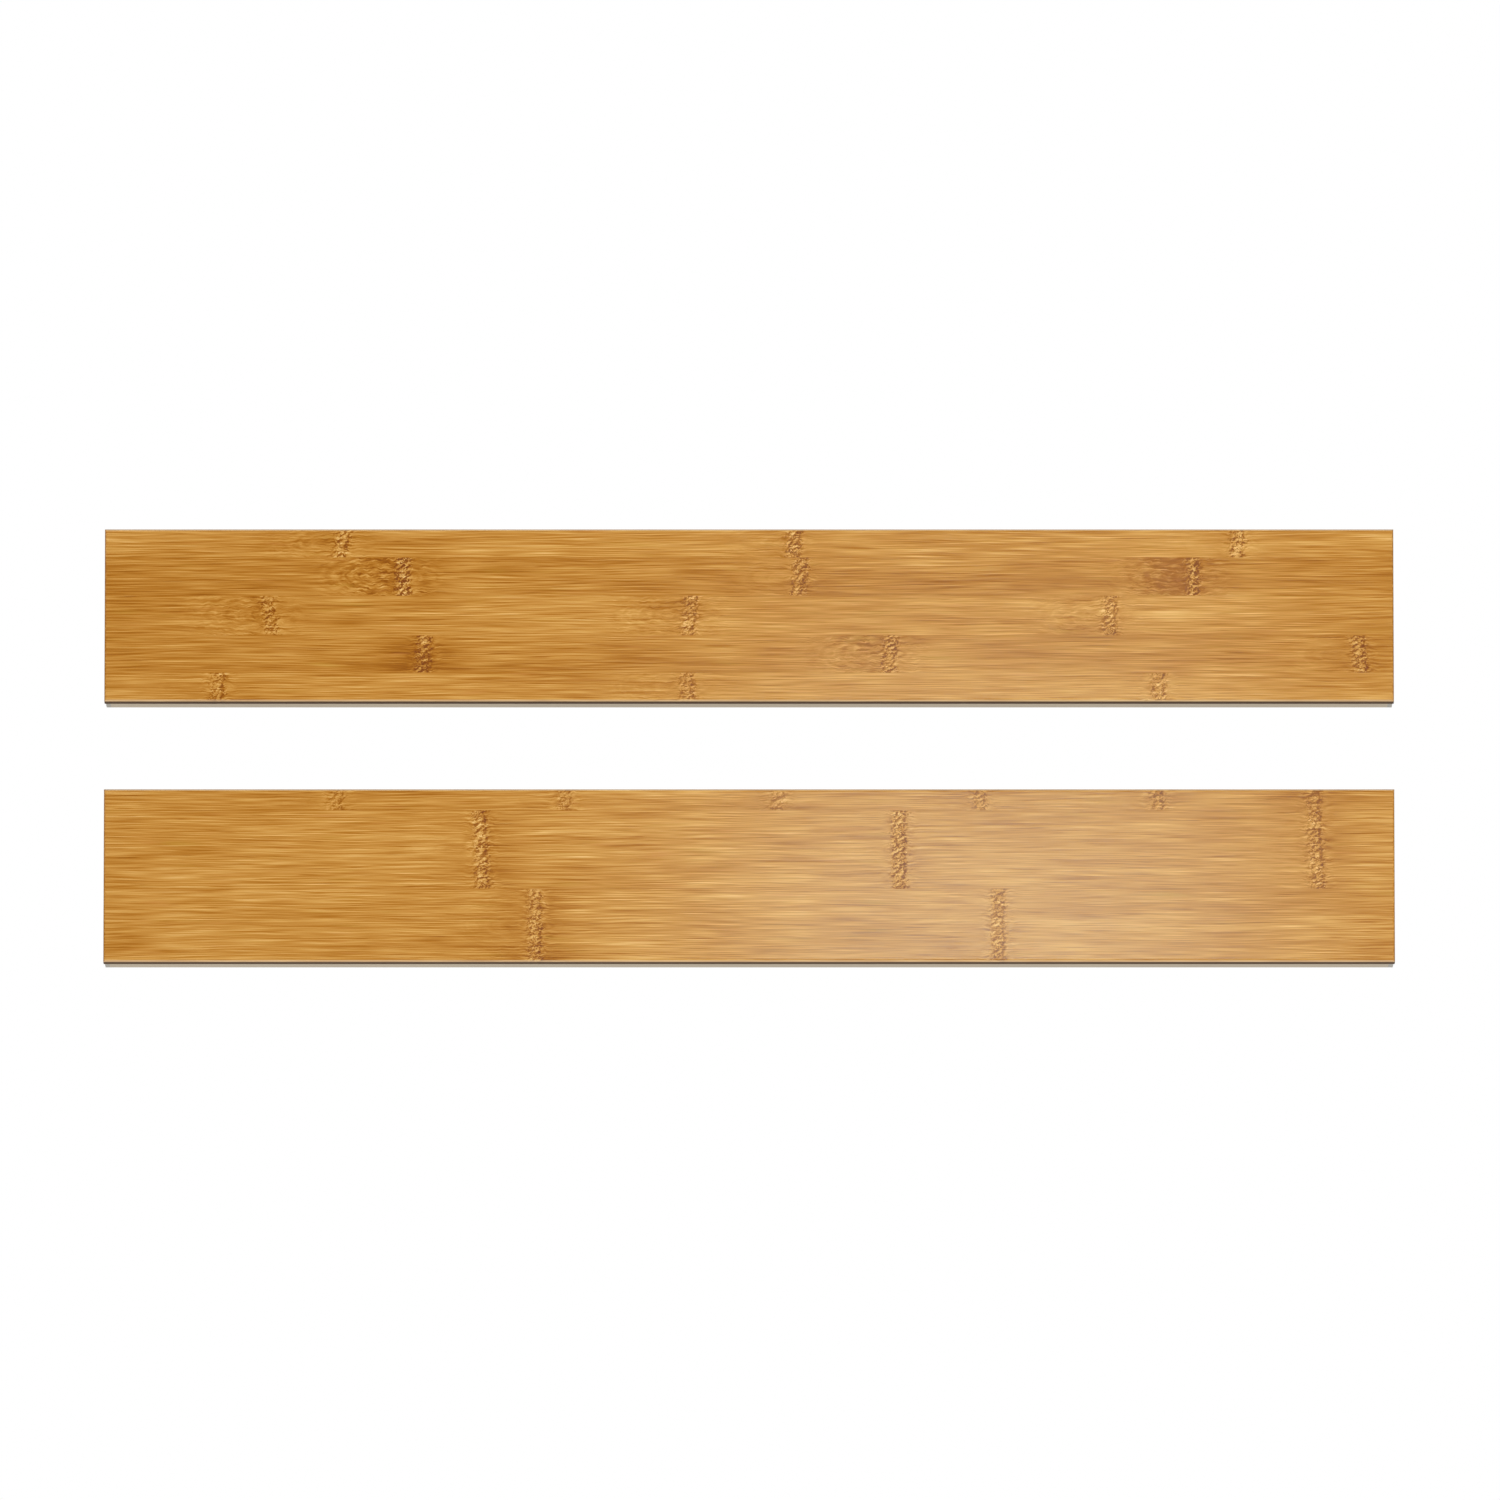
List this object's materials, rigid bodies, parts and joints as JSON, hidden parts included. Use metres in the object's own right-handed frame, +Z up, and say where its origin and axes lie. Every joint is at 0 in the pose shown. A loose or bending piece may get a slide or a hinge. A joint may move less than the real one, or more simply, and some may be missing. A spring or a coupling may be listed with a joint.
{
  "type": "magnetic knife rack set",
  "caption": "Two long bamboo-faced magnetic knife racks, one above the other, hung by keyholes on wall screws and lifted off them.",
  "frame": {"origin": "centre of the four wall screws, on the wall's face", "axes": "+X along the racks, to the right seen from the front; +Y into the wall; +Z up"},
  "size_m": [0.45, 0.05, 0.1526],
  "materials": {
    "bamboo_pale": "laminated bamboo under satin lacquer",
    "bamboo_honey": "laminated bamboo under satin lacquer",
    "foam_tape": "matt foam bonding tape",
    "aluminium": "fine brushed and anodised",
    "grey_plastic": "fine spark texture",
    "nickel": "bright nickel plate",
    "zinc_steel": "zinc plated",
    "nylon": "natural nylon",
    "rubber": "matt moulded rubber"
  },
  "bodies": {
    "wall_fixings": {"wall_screw_upper_left": "zinc_steel", "wall_screw_upper_right": "zinc_steel", "wall_screw_lower_left": "zinc_steel", "wall_screw_lower_right": "zinc_steel"},
    "upper_rack": {"upper_face_strip_1": "bamboo_pale", "upper_face_strip_2": "bamboo_honey", "upper_face_strip_3": "bamboo_pale", "upper_face_strip_4": "bamboo_honey", "upper_face_strip_5": "bamboo_pale", "upper_bonding_tape": "foam_tape", "upper_channel": "aluminium", "upper_end_cap_left": "grey_plastic", "upper_end_cap_right": "grey_plastic", "upper_magnet_01": "nickel", "upper_magnet_02": "nickel", "upper_magnet_03": "nickel", "upper_magnet_04": "nickel", "upper_magnet_05": "nickel", "upper_magnet_06": "nickel", "upper_magnet_07": "nickel", "upper_magnet_08": "nickel", "upper_magnet_09": "nickel", "upper_magnet_10": "nickel", "upper_keeper": "zinc_steel", "upper_spacers": "nylon", "upper_channel_screws": "zinc_steel", "upper_wall_pads": "rubber"},
    "lower_rack": {"lower_face_strip_1": "bamboo_honey", "lower_face_strip_2": "bamboo_honey", "lower_face_strip_3": "bamboo_pale", "lower_bonding_tape": "foam_tape", "lower_channel": "aluminium", "lower_end_cap_left": "grey_plastic", "lower_end_cap_right": "grey_plastic", "lower_magnet_01": "nickel", "lower_magnet_02": "nickel", "lower_magnet_03": "nickel", "lower_magnet_04": "nickel", "lower_magnet_05": "nickel", "lower_magnet_06": "nickel", "lower_magnet_07": "nickel", "lower_magnet_08": "nickel", "lower_magnet_09": "nickel", "lower_magnet_10": "nickel", "lower_keeper": "zinc_steel", "lower_spacers": "nylon", "lower_channel_screws": "zinc_steel", "lower_wall_pads": "rubber"}
  },
  "joints": [
    {"name": "upper_lift", "type": "slide", "parent": "wall_fixings", "child": "upper_rack", "axis": [0, 0, 1], "range_m": [0, 0.0102]},
    {"name": "lower_lift", "type": "slide", "parent": "wall_fixings", "child": "lower_rack", "axis": [0, 0, 1], "range_m": [0, 0.0102]}
  ]
}
